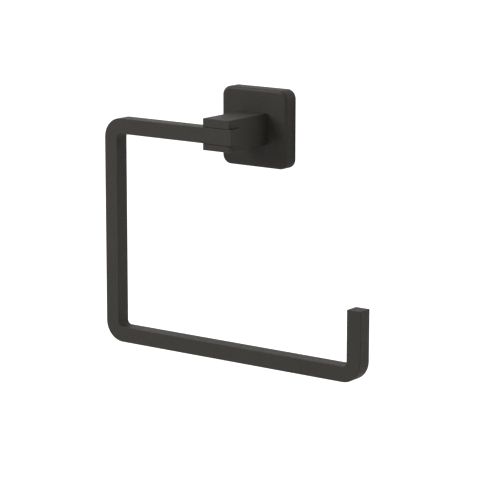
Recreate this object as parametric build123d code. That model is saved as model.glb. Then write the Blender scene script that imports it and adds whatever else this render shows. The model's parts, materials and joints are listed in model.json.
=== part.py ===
from build123d import *
import os

# Open square towel ring on a square post and rosette, fixed to a wall.
# Millimetres. X runs along the wall to the right, Y goes into the wall and Z is up.
# The origin is on the wall, at the centre of the rosette's back.

# Ring, one square bar
BAR_SIZE = 10.0
BAR_EDGE = 0.35  # rounding of the bar's long edges
BAR_END_EDGE = 0.3  # rounding round its two ends
BEND_INNER = 3.0  # inside radius of the three corners
RING_WIDTH = 196.0
RING_HEIGHT = 146.0
RING_LEFT_OF_POST = 87.9  # from the post's middle to the ring's left side
STUB_HEIGHT = 45.4  # upright end at the right, from the ring's underside
BAR_PAST_POST = 2.0  # how far the upper end shows beyond the post's right side
BAR_PROUD = 0.6  # bar's front ahead of the post's front
BAR_DROP = 0.7  # bar's middle below the post's middle

# Post, a square block with a notch across its front
POST_SIZE = 20.0
POST_REACH = 50.3  # from the wall to the post's front
POST_EDGE = 0.3  # rounding of its long edges
POST_FRONT_SHARE = 0.9  # rounding round its front, as a share of that
NOTCH_GAP = 0.1  # above and below the bar
TENON_SIZE = 9.0  # square key behind the post, in the rosette's window
TENON_CORNER = 1.0
TENON_SHORT = 0.4  # left free behind the tenon, so that the washer grips the rosette
WINDOW_GAP = 0.15

# Rosette, a square cover open at the back
ROSETTE_SIZE = 50.0
ROSETTE_DEPTH = 10.1
ROSETTE_CORNER = 6.0
ROSETTE_EDGE = 2.0  # rounding round the front
ROSETTE_WALL = 2.4
ROSETTE_FRONT = 3.0  # thickness of the front

# Hook inside the top of the rosette, which drops behind the bracket's lip
HOOK_WIDTH = 20.0
HOOK_RISE = 1.4
HOOK_THICK = 2.4
HOOK_GAP = 0.3

# Wall bracket, folded from steel sheet
SHEET = 1.5
SHEET_BEND = 0.5  # inside radius of the folds
FLANGE_GAP = 0.8  # from the flanges' free edges to the rosette's front
FLANGE_CORNER = 2.0  # rounding at the free corners of the bottom flange
BRACKET_SIDE_GAP = 3.6  # from its sides to the rosette's walls
SLOT_LENGTH = 7.0
SLOT_WIDTH = 4.5
SLOT_WEB = 1.5  # metal between each slot and the middle hole
HEAD_HOLE_GAP = 2.25  # round the draw screw's head

# Draw screw, which pulls bar, post and rosette together
SCREW_DIAMETER = 5.0
SCREW_HEAD_DIAMETER = 9.5
SCREW_HEAD_HEIGHT = 2.75
SCREW_HEAD_FLAT = 5.0  # across the flat on its domed head
SCREW_DOME_RISE = 0.45  # how far the dome stands out from a straight cone
SCREW_SOCKET = 3.0  # across flats
SCREW_SOCKET_DEPTH = 1.6
SCREW_POINT = 0.6  # bevel at its tip
SCREW_BORE_GAP = 0.25
BAR_SKIN = 4.0  # metal left between the blind hole and the bar's front
HOLE_PAST_SCREW = 1.5
THREAD_GAP = 0.05

# Clamp washer under the draw screw's head
WASHER_DIAMETER = 16.0
WASHER_THICK = 1.5
WASHER_EDGE = 0.2  # bevel round its rims

# Grub screw in a boss inside the rosette's underside
GRUB_DIAMETER = 4.0
GRUB_SOCKET = 2.0  # across flats
GRUB_SOCKET_DEPTH = 2.2
GRUB_BEVEL = 0.4
GRUB_RECESS = 0.4  # below the rosette's surface
GRUB_POINT_FLAT = 0.6  # across the end of its cone
GRUB_BITE = 1.0  # how far the cone goes into the bracket's flange
GRUB_HOLE_GAP = 0.2
BOSS_SIDE = 2.5  # metal beside the grub screw
BOSS_BACK = 1.0  # metal behind the grub screw
BOSS_RISE = 2.6
BOSS_GAP = 0.4  # from the boss to the bracket's flange

# Places worked out from the sizes above; the wall is at y = 0 and the front faces -Y
bar_front = -(POST_REACH + BAR_PROUD)
bar_middle = bar_front + BAR_SIZE / 2
bar_back = bar_front + BAR_SIZE
hole_bottom = bar_front + BAR_SKIN
cavity_front = -ROSETTE_DEPTH + ROSETTE_FRONT
cavity_half = ROSETTE_SIZE / 2 - ROSETTE_WALL
screw_seat = cavity_front + WASHER_THICK
flange_edge = cavity_front + FLANGE_GAP
flange_top = cavity_half - HOOK_RISE - HOOK_GAP
boss_top = -cavity_half + BOSS_RISE
flange_bottom = boss_top + BOSS_GAP
grub_middle = (flange_edge - SHEET) / 2

# A plane on the wall that looks along +Y, for shapes round the post's axis
INTO_WALL = Plane(origin=(0, 0, 0), x_dir=(1, 0, 0), z_dir=(0, 1, 0))


def corner_box(low, high):
    """A box from its lowest corner to its highest."""
    size = [b - a for a, b in zip(low, high)]
    middle = [(a + b) / 2 for a, b in zip(low, high)]
    return Pos(*middle) * Box(*size)


def along_y(shape, front, back):
    """A flat shape round the post's axis, drawn out from its front to its back."""
    return extrude(INTO_WALL.offset(front) * shape, amount=back - front)


def rounded_square(size, corner):
    return RectangleRounded(size, size, corner)


def front_edges(solid):
    """The edges of a solid's foremost flat faces."""
    return solid.faces().filter_by(Axis.Y).group_by(Axis.Y)[0].edges()


def socket(mouth, flats, depth):
    """A hexagon socket, cut into a screw from a plane that faces out of it."""
    return extrude(mouth * RegularPolygon(flats / 2, 6, major_radius=False), amount=-depth)


def towel_bar():
    left = -RING_LEFT_OF_POST + BAR_SIZE / 2
    right = left + RING_WIDTH - BAR_SIZE
    top = -BAR_DROP
    bottom = top - RING_HEIGHT + BAR_SIZE
    start = (POST_SIZE / 2 + BAR_PAST_POST, bar_middle, top)
    stub_end = (right, bar_middle, bottom - BAR_SIZE / 2 + STUB_HEIGHT)
    path = FilletPolyline(
        start,
        (left, bar_middle, top),
        (left, bar_middle, bottom),
        (right, bar_middle, bottom),
        stub_end,
        radius=BEND_INNER + BAR_SIZE / 2,
    )
    across = Plane(origin=start, x_dir=(0, 1, 0), z_dir=(-1, 0, 0))
    bar = sweep(across * rounded_square(BAR_SIZE, BAR_EDGE), path=path.wire())
    ends = ShapeList(bar.faces().sort_by_distance(point)[0] for point in (start, stub_end))
    bar = fillet(ends.edges(), BAR_END_EDGE)
    blind_hole = Circle(SCREW_DIAMETER / 2 + THREAD_GAP)
    return bar - along_y(blind_hole, hole_bottom, bar_back)


def post():
    block = along_y(rounded_square(POST_SIZE, POST_EDGE), -POST_REACH, -ROSETTE_DEPTH)
    notch_half = BAR_SIZE / 2 + NOTCH_GAP
    block -= corner_box(
        (-POST_SIZE, bar_front, -BAR_DROP - notch_half),
        (POST_SIZE, bar_back, -BAR_DROP + notch_half),
    )
    block = fillet(front_edges(block), POST_EDGE * POST_FRONT_SHARE)
    tenon_back = cavity_front - TENON_SHORT
    block += along_y(rounded_square(TENON_SIZE, TENON_CORNER), -ROSETTE_DEPTH, tenon_back)
    bore = Circle(SCREW_DIAMETER / 2 + SCREW_BORE_GAP)
    return block - along_y(bore, bar_back, tenon_back)


def rosette():
    cover = along_y(rounded_square(ROSETTE_SIZE, ROSETTE_CORNER), -ROSETTE_DEPTH, 0)
    cover = fillet(front_edges(cover), ROSETTE_EDGE)
    cavity = rounded_square(2 * cavity_half, ROSETTE_CORNER - ROSETTE_WALL)
    cover -= along_y(cavity, cavity_front, 0)
    window = rounded_square(TENON_SIZE + 2 * WINDOW_GAP, TENON_CORNER + WINDOW_GAP)
    cover -= along_y(window, -ROSETTE_DEPTH, cavity_front)
    hook_front = flange_edge + SHEET + HOOK_GAP
    cover += corner_box(
        (-HOOK_WIDTH / 2, hook_front, cavity_half - HOOK_RISE),
        (HOOK_WIDTH / 2, hook_front + HOOK_THICK, cavity_half),
    )
    boss_half = GRUB_DIAMETER / 2 + BOSS_SIDE
    cover += corner_box(
        (-boss_half, cavity_front, -cavity_half),
        (boss_half, grub_middle + GRUB_DIAMETER / 2 + BOSS_BACK, boss_top),
    )
    grub_hole = Cylinder(GRUB_DIAMETER / 2 + THREAD_GAP, 2 * (ROSETTE_WALL + BOSS_RISE))
    return cover - Pos(0, grub_middle, -ROSETTE_SIZE / 2) * grub_hole


def wall_bracket():
    # The sheet's middle line: lip, top flange, plate on the wall, bottom flange
    plate = -SHEET / 2
    lip = flange_edge + SHEET / 2
    top = flange_top - SHEET / 2
    bottom = flange_bottom + SHEET / 2
    lip_end = (0, lip, cavity_half - HOOK_GAP)
    fold = FilletPolyline(
        lip_end,
        (0, lip, top),
        (0, plate, top),
        (0, plate, bottom),
        (0, flange_edge, bottom),
        radius=SHEET_BEND + SHEET / 2,
    )
    width = 2 * (cavity_half - BRACKET_SIDE_GAP)
    across = Plane(origin=lip_end, x_dir=(1, 0, 0), z_dir=(0, 0, -1))
    bracket = sweep(across * Rectangle(width, SHEET), path=fold.wire())
    # Beside the hook the top flange stops short of its lip
    beside_hook = corner_box(
        (HOOK_WIDTH / 2, flange_edge - SHEET, flange_top - 2 * SHEET),
        (ROSETTE_SIZE, lip + SHEET / 2 + SHEET_BEND, cavity_half),
    )
    bracket -= beside_hook
    bracket -= mirror(beside_hook, about=Plane.YZ)
    free_corners = bracket.edges().filter_by(Axis.Z).filter_by_position(
        Axis.Z, flange_bottom, flange_bottom + SHEET
    )
    bracket = fillet(free_corners, FLANGE_CORNER)
    head_hole_radius = SCREW_HEAD_DIAMETER / 2 + HEAD_HOLE_GAP
    bracket -= along_y(Circle(head_hole_radius), -SHEET, 0)
    slot_middle = head_hole_radius + SLOT_WEB + SLOT_LENGTH / 2
    for side in (-1, 1):
        slot = Pos(side * slot_middle, 0) * SlotOverall(SLOT_LENGTH, SLOT_WIDTH)
        bracket -= along_y(slot, -SHEET, 0)
    point_hole = Cylinder(GRUB_POINT_FLAT / 2 + GRUB_BITE + GRUB_HOLE_GAP, 2 * SHEET)
    return bracket - Pos(0, grub_middle, bottom) * point_hole


def draw_screw():
    radius = SCREW_DIAMETER / 2
    head_radius = SCREW_HEAD_DIAMETER / 2
    flat_radius = SCREW_HEAD_FLAT / 2
    tip = hole_bottom + HOLE_PAST_SCREW
    head_top = screw_seat + SCREW_HEAD_HEIGHT
    rim = (head_radius, screw_seat)
    flat_edge = (flat_radius, head_top)
    outline = Polyline(
        rim,
        (radius, screw_seat),
        (radius, tip + SCREW_POINT),
        (radius - SCREW_POINT, tip),
        (0, tip),
        (0, head_top),
        flat_edge,
    )
    dome = SagittaArc(flat_edge, rim, SCREW_DOME_RISE)
    screw = revolve(make_face([outline, dome]), Axis.Y)
    return screw - socket(INTO_WALL.offset(head_top), SCREW_SOCKET, SCREW_SOCKET_DEPTH)


def clamp_washer():
    ring = Circle(WASHER_DIAMETER / 2) - Circle(SCREW_DIAMETER / 2 + SCREW_BORE_GAP)
    washer = along_y(ring, cavity_front, screw_seat)
    rims = washer.edges().filter_by(GeomType.CIRCLE).group_by(SortBy.RADIUS)[-1]
    return chamfer(rims, WASHER_EDGE)


def grub_screw():
    radius = GRUB_DIAMETER / 2
    flat_radius = GRUB_POINT_FLAT / 2
    outer_end = -ROSETTE_SIZE / 2 + GRUB_RECESS
    point = flange_bottom + GRUB_BITE
    outline = Polyline(
        (0, outer_end),
        (radius - GRUB_BEVEL, outer_end),
        (radius, outer_end + GRUB_BEVEL),
        (radius, point - radius + flat_radius),
        (flat_radius, point),
        (0, point),
        close=True,
    )
    screw = revolve(Plane.XZ * make_face(outline), Axis.Z)
    mouth = Plane(origin=(0, 0, outer_end), z_dir=(0, 0, -1))
    return Pos(0, grub_middle, 0) * (screw - socket(mouth, GRUB_SOCKET, GRUB_SOCKET_DEPTH))


PIECES = (towel_bar, post, rosette, wall_bracket, draw_screw, clamp_washer, grub_screw)

os.makedirs("parts", exist_ok=True)
for piece in PIECES:
    export_step(piece(), f"parts/{piece.__name__}.step")
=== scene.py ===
import json
import math

import bmesh
import bpy
from mathutils import Matrix, Vector


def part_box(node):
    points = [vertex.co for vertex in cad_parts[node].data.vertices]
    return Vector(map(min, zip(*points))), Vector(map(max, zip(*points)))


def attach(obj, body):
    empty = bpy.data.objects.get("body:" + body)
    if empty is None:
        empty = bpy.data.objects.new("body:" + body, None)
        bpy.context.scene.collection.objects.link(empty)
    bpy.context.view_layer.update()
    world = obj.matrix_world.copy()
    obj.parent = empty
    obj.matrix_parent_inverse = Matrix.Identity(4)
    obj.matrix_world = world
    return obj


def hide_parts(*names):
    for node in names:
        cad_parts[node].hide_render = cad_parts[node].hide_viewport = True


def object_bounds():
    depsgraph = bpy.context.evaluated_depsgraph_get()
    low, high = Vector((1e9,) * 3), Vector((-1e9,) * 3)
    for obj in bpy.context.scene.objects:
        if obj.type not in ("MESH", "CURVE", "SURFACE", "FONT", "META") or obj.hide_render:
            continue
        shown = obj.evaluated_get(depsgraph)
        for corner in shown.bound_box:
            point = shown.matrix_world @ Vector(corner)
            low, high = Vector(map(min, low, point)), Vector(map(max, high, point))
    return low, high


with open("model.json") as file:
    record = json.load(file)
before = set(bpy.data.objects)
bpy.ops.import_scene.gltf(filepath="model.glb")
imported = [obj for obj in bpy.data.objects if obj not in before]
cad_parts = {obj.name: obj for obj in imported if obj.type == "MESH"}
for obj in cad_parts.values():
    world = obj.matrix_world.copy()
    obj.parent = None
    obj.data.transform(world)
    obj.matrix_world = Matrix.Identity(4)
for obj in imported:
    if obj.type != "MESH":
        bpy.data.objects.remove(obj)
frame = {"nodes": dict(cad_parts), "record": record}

cad_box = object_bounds()

# Camera, in degrees and metres: it looks down a little from the right of the front
CAMERA_YAW = 36.06
CAMERA_PITCH = 11.46
CAMERA_ROLL = -0.05
CAMERA_DISTANCE = 1.408
CAMERA_AIM_ACROSS = 0.10687  # from the ring's left side
CAMERA_AIM_DOWN = 0.06748  # from the ring's top
CAMERA_NEAR = 0.05
CAMERA_FAR = 60
LENS = 171.4  # in millimetres, as the sensor is
SENSOR = 36.0

# Floor and wall, in metres
FLOOR_DROP = 0.30  # from the ring's lowest point to the floor
FLOOR_RADIUS = 12.0
FLOOR_SIDES = 96
FLOOR_GREY = 0.40
FLOOR_SEEN = 0.93  # glow that the floor adds for the camera
FLOOR_MIRRORED = 0.40  # glow that it adds in reflections
FLOOR_LIGHT = 0.0  # its glow lights nothing else
WALL_REACH = 0.8  # from the rosette's middle to each side
WALL_GAP = 0.0005  # behind the rosette
WALL_WHITE = 0.93

# Light: the sky's strengths, and the lamps in metres and watts
SKY_SEEN = 1.0
SKY_MIRRORED = 0.44
SKY_LIGHT = 0.75
LAMP_AIM = (0, -0.03, -0.06)  # near the object's middle
KEY_PLACE = (-1.95, -1.67, 1.53)
KEY_SIZE = 2.2
KEY_POWER = 69.0
BACK_PLACE = (-0.6, 2.4, 1.6)
BACK_SIZE = 1.5
BACK_POWER = 12.0

# Screws, in metres; their sizes are those of the solids that they replace
POINTS_ROUND = 48  # on each ring of points
DRAW_PITCH = 0.0008
DRAW_HEAD_HEIGHT = 0.00275
DRAW_HEAD_FLAT = 0.0025  # radius of the flat on its domed head
DRAW_DOME_RISE = 0.00045  # how far the dome stands out from a straight cone
DRAW_DOME_STEPS = 10
DRAW_RADIUS = 0.0025
DRAW_TIP_BEVEL = 0.0006
DRAW_SOCKET = 0.0030  # across flats
DRAW_SOCKET_DEPTH = 0.0016
GRUB_PITCH = 0.0007
GRUB_SOCKET = 0.0020
GRUB_SOCKET_DEPTH = 0.0022
GRUB_POINT = 0.0003  # radius of the flat on its cone
SOCKET_BEVEL = 0.00015
DRILL_POINT = 0.0004  # how far the drilled middle goes below a socket
THREAD_DEPTH = 0.61  # of the pitch
THREAD_SHAPE = ((0.0, 0), (0.25, 0), (0.56, 1), (0.69, 1))  # shares of the pitch and the depth
SAME_POINT = 1e-7  # points nearer than this become one
SHARP_ANGLE = 32  # in degrees: edges that turn more show as sharp

# Colours, linear
BLACK_COAT = (0.0280, 0.0242, 0.0194)
STEEL = (0.58, 0.58, 0.57)
ZINC = (0.66, 0.68, 0.70)
BLACK_OXIDE = (0.030, 0.030, 0.032)

# Noises: waves for each metre, and finer layers on them
CLOUD = (28.0, 3.0)
PEEL = (900.0, 1.0)
GRAIN = (3600.0, 2.0)
MOTTLE = (420.0, 4.0)
SHEET_LINES = (1.0, 3.0)  # in a space stretched by the next value
SHEET_STRETCH = (60, 3000, 3000)  # few waves along the lines and many across them
NOISE_RANGE = (0.3, 0.7)  # the part of a noise that is stretched over tones or roughness

# Bumps: strength, and height in metres
PEEL_BUMP = (0.5, 0.00012)
GRAIN_BUMP = (0.5, 0.00006)
SHEET_BUMP = (0.15, 0.00002)

# Least and most of the tones, as shares of the colour, and of the roughness
COAT_TONES = (0.94, 1.06)
COAT_ROUGHNESS = (0.54, 0.62)
SHEET_TONES = (0.93, 1.07)
SHEET_ROUGHNESS = (0.28, 0.40)
PLATED_TONES = (0.88, 1.1)
ZINC_ROUGHNESS = (0.24, 0.36)
OXIDE_ROUGHNESS = (0.36, 0.48)

COAT_GLOSS = 0.32  # specular level of the powder coat


class Nodes:
    """A short way to build the node tree of one material or of the world."""

    def __init__(self, tree):
        tree.nodes.clear()
        self.tree = tree

    def add(self, kind, inputs=None, **settings):
        """A new node, of which each input gets a value or a link from another node's socket."""
        node = self.tree.nodes.new("ShaderNode" + kind)
        for name, value in settings.items():
            setattr(node, name, value)
        for name, value in (inputs or {}).items():
            if isinstance(value, bpy.types.NodeSocket):
                self.tree.links.new(value, node.inputs[name])
            else:
                node.inputs[name].default_value = value
        return node


def new_material(name):
    material = bpy.data.materials.new(name)
    material.use_nodes = True
    return material, Nodes(material.node_tree)


def new_object(name, data):
    made = bpy.data.objects.new(name, data)
    bpy.context.scene.collection.objects.link(made)
    return made


def new_mesh(name, shape):
    mesh = bpy.data.meshes.new(name)
    shape.to_mesh(mesh)
    shape.free()
    return mesh


def grey(level):
    return (level, level, level, 1)


def noise(nodes, place, kind):
    waves, layers = kind
    return nodes.add("TexNoise", {"Vector": place, "Scale": waves, "Detail": layers}).outputs["Fac"]


def bump(nodes, height, kind, under=None):
    """A bump that follows a noise, laid over another bump where one is given."""
    strength, distance = kind
    inputs = {"Height": height, "Strength": strength, "Distance": distance}
    if under is not None:
        inputs["Normal"] = under
    return nodes.add("Bump", inputs).outputs[0]


def spread(nodes, value, least_and_most):
    """A noise stretched from the least to the most of a finish."""
    least, most = least_and_most
    low, high = NOISE_RANGE
    return nodes.add(
        "MapRange", {"Value": value, "From Min": low, "From Max": high, "To Min": least, "To Max": most}
    ).outputs[0]


def shades(nodes, colour, value, tones):
    """The colour made a little darker and lighter by a noise."""
    factor = spread(nodes, value, tones)
    return nodes.add("VectorMath", {0: colour, "Scale": factor}, operation="SCALE").outputs[0]


def surface(nodes, shader_inputs):
    shader = nodes.add("BsdfPrincipled", shader_inputs)
    nodes.add("OutputMaterial", {"Surface": shader.outputs[0]})


def powder_coat():
    """Fine matt powder coat: a soft orange peel with a grain on it, and a slight change of tone."""
    material, nodes = new_material("black_coating")
    place = nodes.add("TexCoord").outputs["Object"]
    cloud = noise(nodes, place, CLOUD)
    grain = noise(nodes, place, GRAIN)
    peel_bump = bump(nodes, noise(nodes, place, PEEL), PEEL_BUMP)
    surface(nodes, {
        "Base Color": shades(nodes, BLACK_COAT, cloud, COAT_TONES),
        "Roughness": spread(nodes, grain, COAT_ROUGHNESS),
        "Normal": bump(nodes, grain, GRAIN_BUMP, peel_bump),
        "Specular IOR Level": COAT_GLOSS,
    })
    return material


def rolled_sheet():
    """Stainless sheet, with the fine lines of its rolling along its width."""
    material, nodes = new_material("steel_sheet")
    place = nodes.add("TexCoord").outputs["Object"]
    stretched = nodes.add("Mapping", {"Vector": place, "Scale": SHEET_STRETCH}).outputs[0]
    lines = noise(nodes, stretched, SHEET_LINES)
    surface(nodes, {
        "Base Color": shades(nodes, STEEL, lines, SHEET_TONES),
        "Roughness": spread(nodes, lines, SHEET_ROUGHNESS),
        "Normal": bump(nodes, lines, SHEET_BUMP),
        "Metallic": 1.0,
    })
    return material


def plated(name, colour, roughness):
    """Zinc plate or black oxide, mottled a little."""
    material, nodes = new_material(name)
    place = nodes.add("TexCoord").outputs["Object"]
    mottle = noise(nodes, place, MOTTLE)
    surface(nodes, {
        "Base Color": shades(nodes, colour, mottle, PLATED_TONES),
        "Roughness": spread(nodes, mottle, roughness),
        "Metallic": 1.0,
    })
    return material


def dress(materials):
    """Every node gets the finish of its slot in the record."""
    for part in frame["record"]["subparts"]:
        mesh = frame["nodes"][part["node"]].data
        mesh.materials.clear()
        mesh.materials.append(materials[part["material_slot"]])


def even_ring(radius, place):
    return [(radius, place)] * (POINTS_ROUND + 1)


def hexagon_ring(flats, place):
    """A ring pulled out to the six corners of a socket."""
    sixth = math.tau / 6
    ring = []
    for index in range(POINTS_ROUND + 1):
        angle = math.tau * index / POINTS_ROUND % sixth - sixth / 2
        ring.append((flats / 2 / math.cos(angle), place))
    return ring


def socket_rings(flats, depth):
    """From the drilled middle of a hexagon socket up to its bevelled mouth."""
    return [
        even_ring(0, depth + DRILL_POINT),
        hexagon_ring(flats, depth),
        hexagon_ring(flats, SOCKET_BEVEL),
        even_ring(flats / math.sqrt(3) + SOCKET_BEVEL, 0),
    ]


def dome_rings(edge_radius):
    """From the flat on the draw screw's head out to the head's edge."""
    across = edge_radius - DRAW_HEAD_FLAT
    slant = math.hypot(across, DRAW_HEAD_HEIGHT)
    rings = []
    for step in range(DRAW_DOME_STEPS + 1):
        share = step / DRAW_DOME_STEPS
        rise = 4 * share * (1 - share) * DRAW_DOME_RISE
        radius = DRAW_HEAD_FLAT + across * share + rise * DRAW_HEAD_HEIGHT / slant
        rings.append(even_ring(radius, DRAW_HEAD_HEIGHT * share - rise * across / slant))
    return rings


def thread_rings(radius, pitch, start, end, end_radius):
    """Rings that climb as the thread does, cut off by a cone at each end."""
    depth = THREAD_DEPTH * pitch
    root = radius - depth
    rings = []
    for turn in range(-1, math.ceil((end - start) / pitch) + 1):
        for share, height in THREAD_SHAPE:
            ring = []
            for index in range(POINTS_ROUND + 1):
                place = start + (turn + share + index / POINTS_ROUND) * pitch
                place = min(max(place, start), end)
                cones = min(root + place - start, end_radius + end - place)
                ring.append((min(root + height * depth, cones), place))
            rings.append(ring)
    return rings


def turned_mesh(name, rings, mouth, inwards):
    """A closed mesh through rings of points, each with a radius and a depth from the mouth."""
    side = inwards.orthogonal().normalized()
    other = inwards.cross(side)
    shape = bmesh.new()
    rows = []
    for ring in rings:
        row = []
        for index, (radius, depth) in enumerate(ring):
            angle = math.tau * index / POINTS_ROUND
            outwards = side * math.cos(angle) + other * math.sin(angle)
            row.append(shape.verts.new(mouth + inwards * depth + outwards * radius))
        rows.append(row)
    for row, following in zip(rows, rows[1:]):
        for index in range(POINTS_ROUND):
            shape.faces.new((row[index], row[index + 1], following[index + 1], following[index]))
    bmesh.ops.remove_doubles(shape, verts=shape.verts, dist=SAME_POINT)
    bmesh.ops.recalc_face_normals(shape, faces=shape.faces)
    mesh = new_mesh(name, shape)
    mesh.shade_smooth()
    mesh.set_sharp_from_angle(angle=math.radians(SHARP_ANGLE))
    return mesh


def turned_piece(name, rings, mouth, inwards):
    piece = new_object(name, turned_mesh(name, rings, mouth, inwards))
    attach(piece, "root")
    return piece


def threaded_draw_screw():
    """The long screw from the rosette's inside into the bar, with its head at the back."""
    low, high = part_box("draw_screw")
    length = high.y - low.y
    rings = socket_rings(DRAW_SOCKET, DRAW_SOCKET_DEPTH) + dome_rings(high.x)
    tip_radius = DRAW_RADIUS - DRAW_TIP_BEVEL
    rings += thread_rings(DRAW_RADIUS, DRAW_PITCH, DRAW_HEAD_HEIGHT, length, tip_radius)
    rings.append(even_ring(0, length))
    mouth = Vector((0, high.y, 0))
    piece = turned_piece("threaded_draw_screw", rings, mouth, Vector((0, -1, 0)))
    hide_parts("draw_screw")
    return piece


def threaded_grub_screw():
    """The headless screw in the rosette's underside, with its cone upwards."""
    low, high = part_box("grub_screw")
    length = high.z - low.z
    rings = socket_rings(GRUB_SOCKET, GRUB_SOCKET_DEPTH)
    rings += thread_rings(high.x, GRUB_PITCH, 0, length, GRUB_POINT)
    rings.append(even_ring(0, length))
    mouth = Vector((0, (low.y + high.y) / 2, low.z))
    piece = turned_piece("threaded_grub_screw", rings, mouth, Vector((0, 0, 1)))
    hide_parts("grub_screw")
    return piece


def make_camera():
    yaw = math.radians(CAMERA_YAW)
    pitch = math.radians(CAMERA_PITCH)
    ahead = Vector((
        -math.sin(yaw) * math.cos(pitch),
        math.cos(yaw) * math.cos(pitch),
        -math.sin(pitch),
    ))
    right = Vector((math.cos(yaw), math.sin(yaw), 0))
    up = right.cross(ahead)
    ring_low, ring_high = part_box("towel_bar")
    aim = Vector((ring_low.x + CAMERA_AIM_ACROSS, ring_low.y, ring_high.z - CAMERA_AIM_DOWN))
    turn = Matrix((right, up, -ahead)).transposed().to_4x4()
    turn = turn @ Matrix.Rotation(math.radians(-CAMERA_ROLL), 4, "Z")
    data = bpy.data.cameras.new("camera")
    data.lens = LENS
    data.sensor_width = SENSOR
    data.clip_start = CAMERA_NEAR
    data.clip_end = CAMERA_FAR
    camera = new_object("camera", data)
    camera.matrix_world = Matrix.Translation(aim - ahead * CAMERA_DISTANCE) @ turn
    bpy.context.scene.camera = camera


def by_ray(nodes, seen, mirrored, otherwise):
    """A strength for rays from the camera or through glass, for reflections, and for the rest."""
    path = nodes.add("LightPath")
    direct = nodes.add(
        "Math",
        {0: path.outputs["Is Camera Ray"], 1: path.outputs["Is Transmission Ray"]},
        operation="MAXIMUM",
    ).outputs[0]
    unseen = nodes.add(
        "MapRange", {"Value": path.outputs["Is Glossy Ray"], "To Min": otherwise, "To Max": mirrored}
    ).outputs[0]
    return nodes.add("MapRange", {"Value": direct, "To Min": unseen, "To Max": seen}).outputs[0]


def make_world():
    world = bpy.data.worlds.new("studio")
    world.use_nodes = True
    nodes = Nodes(world.node_tree)
    strength = by_ray(nodes, SKY_SEEN, SKY_MIRRORED, SKY_LIGHT)
    light = nodes.add("Background", {"Color": grey(1), "Strength": strength})
    nodes.add("OutputWorld", {"Surface": light.outputs[0]})
    bpy.context.scene.world = world


def clear_where(nodes, hidden, shader):
    """The surface, clear wherever the value is one."""
    clear = nodes.add("BsdfTransparent")
    both = nodes.add("MixShader", {0: hidden, 1: shader.outputs[0], 2: clear.outputs[0]})
    nodes.add("OutputMaterial", {"Surface": both.outputs[0]})


def make_floor():
    """A plain pale floor. Seen from below it is clear, so that it doesn't hide the object."""
    height = cad_box[0][2] - FLOOR_DROP
    bpy.ops.mesh.primitive_circle_add(
        vertices=FLOOR_SIDES, radius=FLOOR_RADIUS, fill_type="NGON", location=(0, 0, height)
    )
    floor = bpy.context.object
    floor.name = "floor"
    material, nodes = new_material("floor")
    matt = nodes.add("BsdfDiffuse", {"Color": grey(FLOOR_GREY)})
    strength = by_ray(nodes, FLOOR_SEEN, FLOOR_MIRRORED, FLOOR_LIGHT)
    glow = nodes.add("Emission", {"Color": grey(1), "Strength": strength})
    lit = nodes.add("AddShader", {0: matt.outputs[0], 1: glow.outputs[0]})
    clear_where(nodes, nodes.add("NewGeometry").outputs["Backfacing"], lit)
    floor.data.materials.append(material)


def wall_mesh():
    """A flat square with an opening of the rosette's outline, so that light reaches the bracket."""
    low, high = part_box("rosette")
    outlines = (
        (low.x, high.x, low.z, high.z),
        (-WALL_REACH, WALL_REACH, -WALL_REACH, WALL_REACH),
    )
    shape = bmesh.new()
    rings = []
    for left, right, bottom, top in outlines:
        corners = ((left, bottom), (right, bottom), (right, top), (left, top))
        rings.append([shape.verts.new((x, high.y + WALL_GAP, z)) for x, z in corners])
    opening, rim = rings
    for index in range(4):
        following = (index + 1) % 4
        shape.faces.new((opening[index], rim[index], rim[following], opening[following]))
    return new_mesh("wall", shape)


def make_wall():
    """The white wall behind the object, which shades and lights it. The camera sees through it."""
    wall = new_object("wall", wall_mesh())
    material, nodes = new_material("wall")
    matt = nodes.add("BsdfDiffuse", {"Color": grey(WALL_WHITE)})
    clear_where(nodes, nodes.add("LightPath").outputs["Is Camera Ray"], matt)
    wall.data.materials.append(material)


def area_light(name, place, size, power):
    data = bpy.data.lights.new(name, "AREA")
    data.shape = "DISK"
    data.size = size
    data.energy = power
    lamp = new_object(name, data)
    lamp.location = place
    direction = Vector(LAMP_AIM) - Vector(place)
    lamp.rotation_euler = direction.to_track_quat("-Z", "Y").to_euler()


make_camera()
make_world()
make_floor()
make_wall()
area_light("key", KEY_PLACE, KEY_SIZE, KEY_POWER)
area_light("back", BACK_PLACE, BACK_SIZE, BACK_POWER)
materials = {
    "black_coating": powder_coat(),
    "steel_sheet": rolled_sheet(),
    "zinc_plate": plated("zinc_plate", ZINC, ZINC_ROUGHNESS),
    "black_screw": plated("black_screw", BLACK_OXIDE, OXIDE_ROUGHNESS),
}
dress(materials)
threaded_draw_screw().data.materials.append(materials["zinc_plate"])
threaded_grub_screw().data.materials.append(materials["black_screw"])

bpy.context.scene.view_settings.view_transform = "Standard"
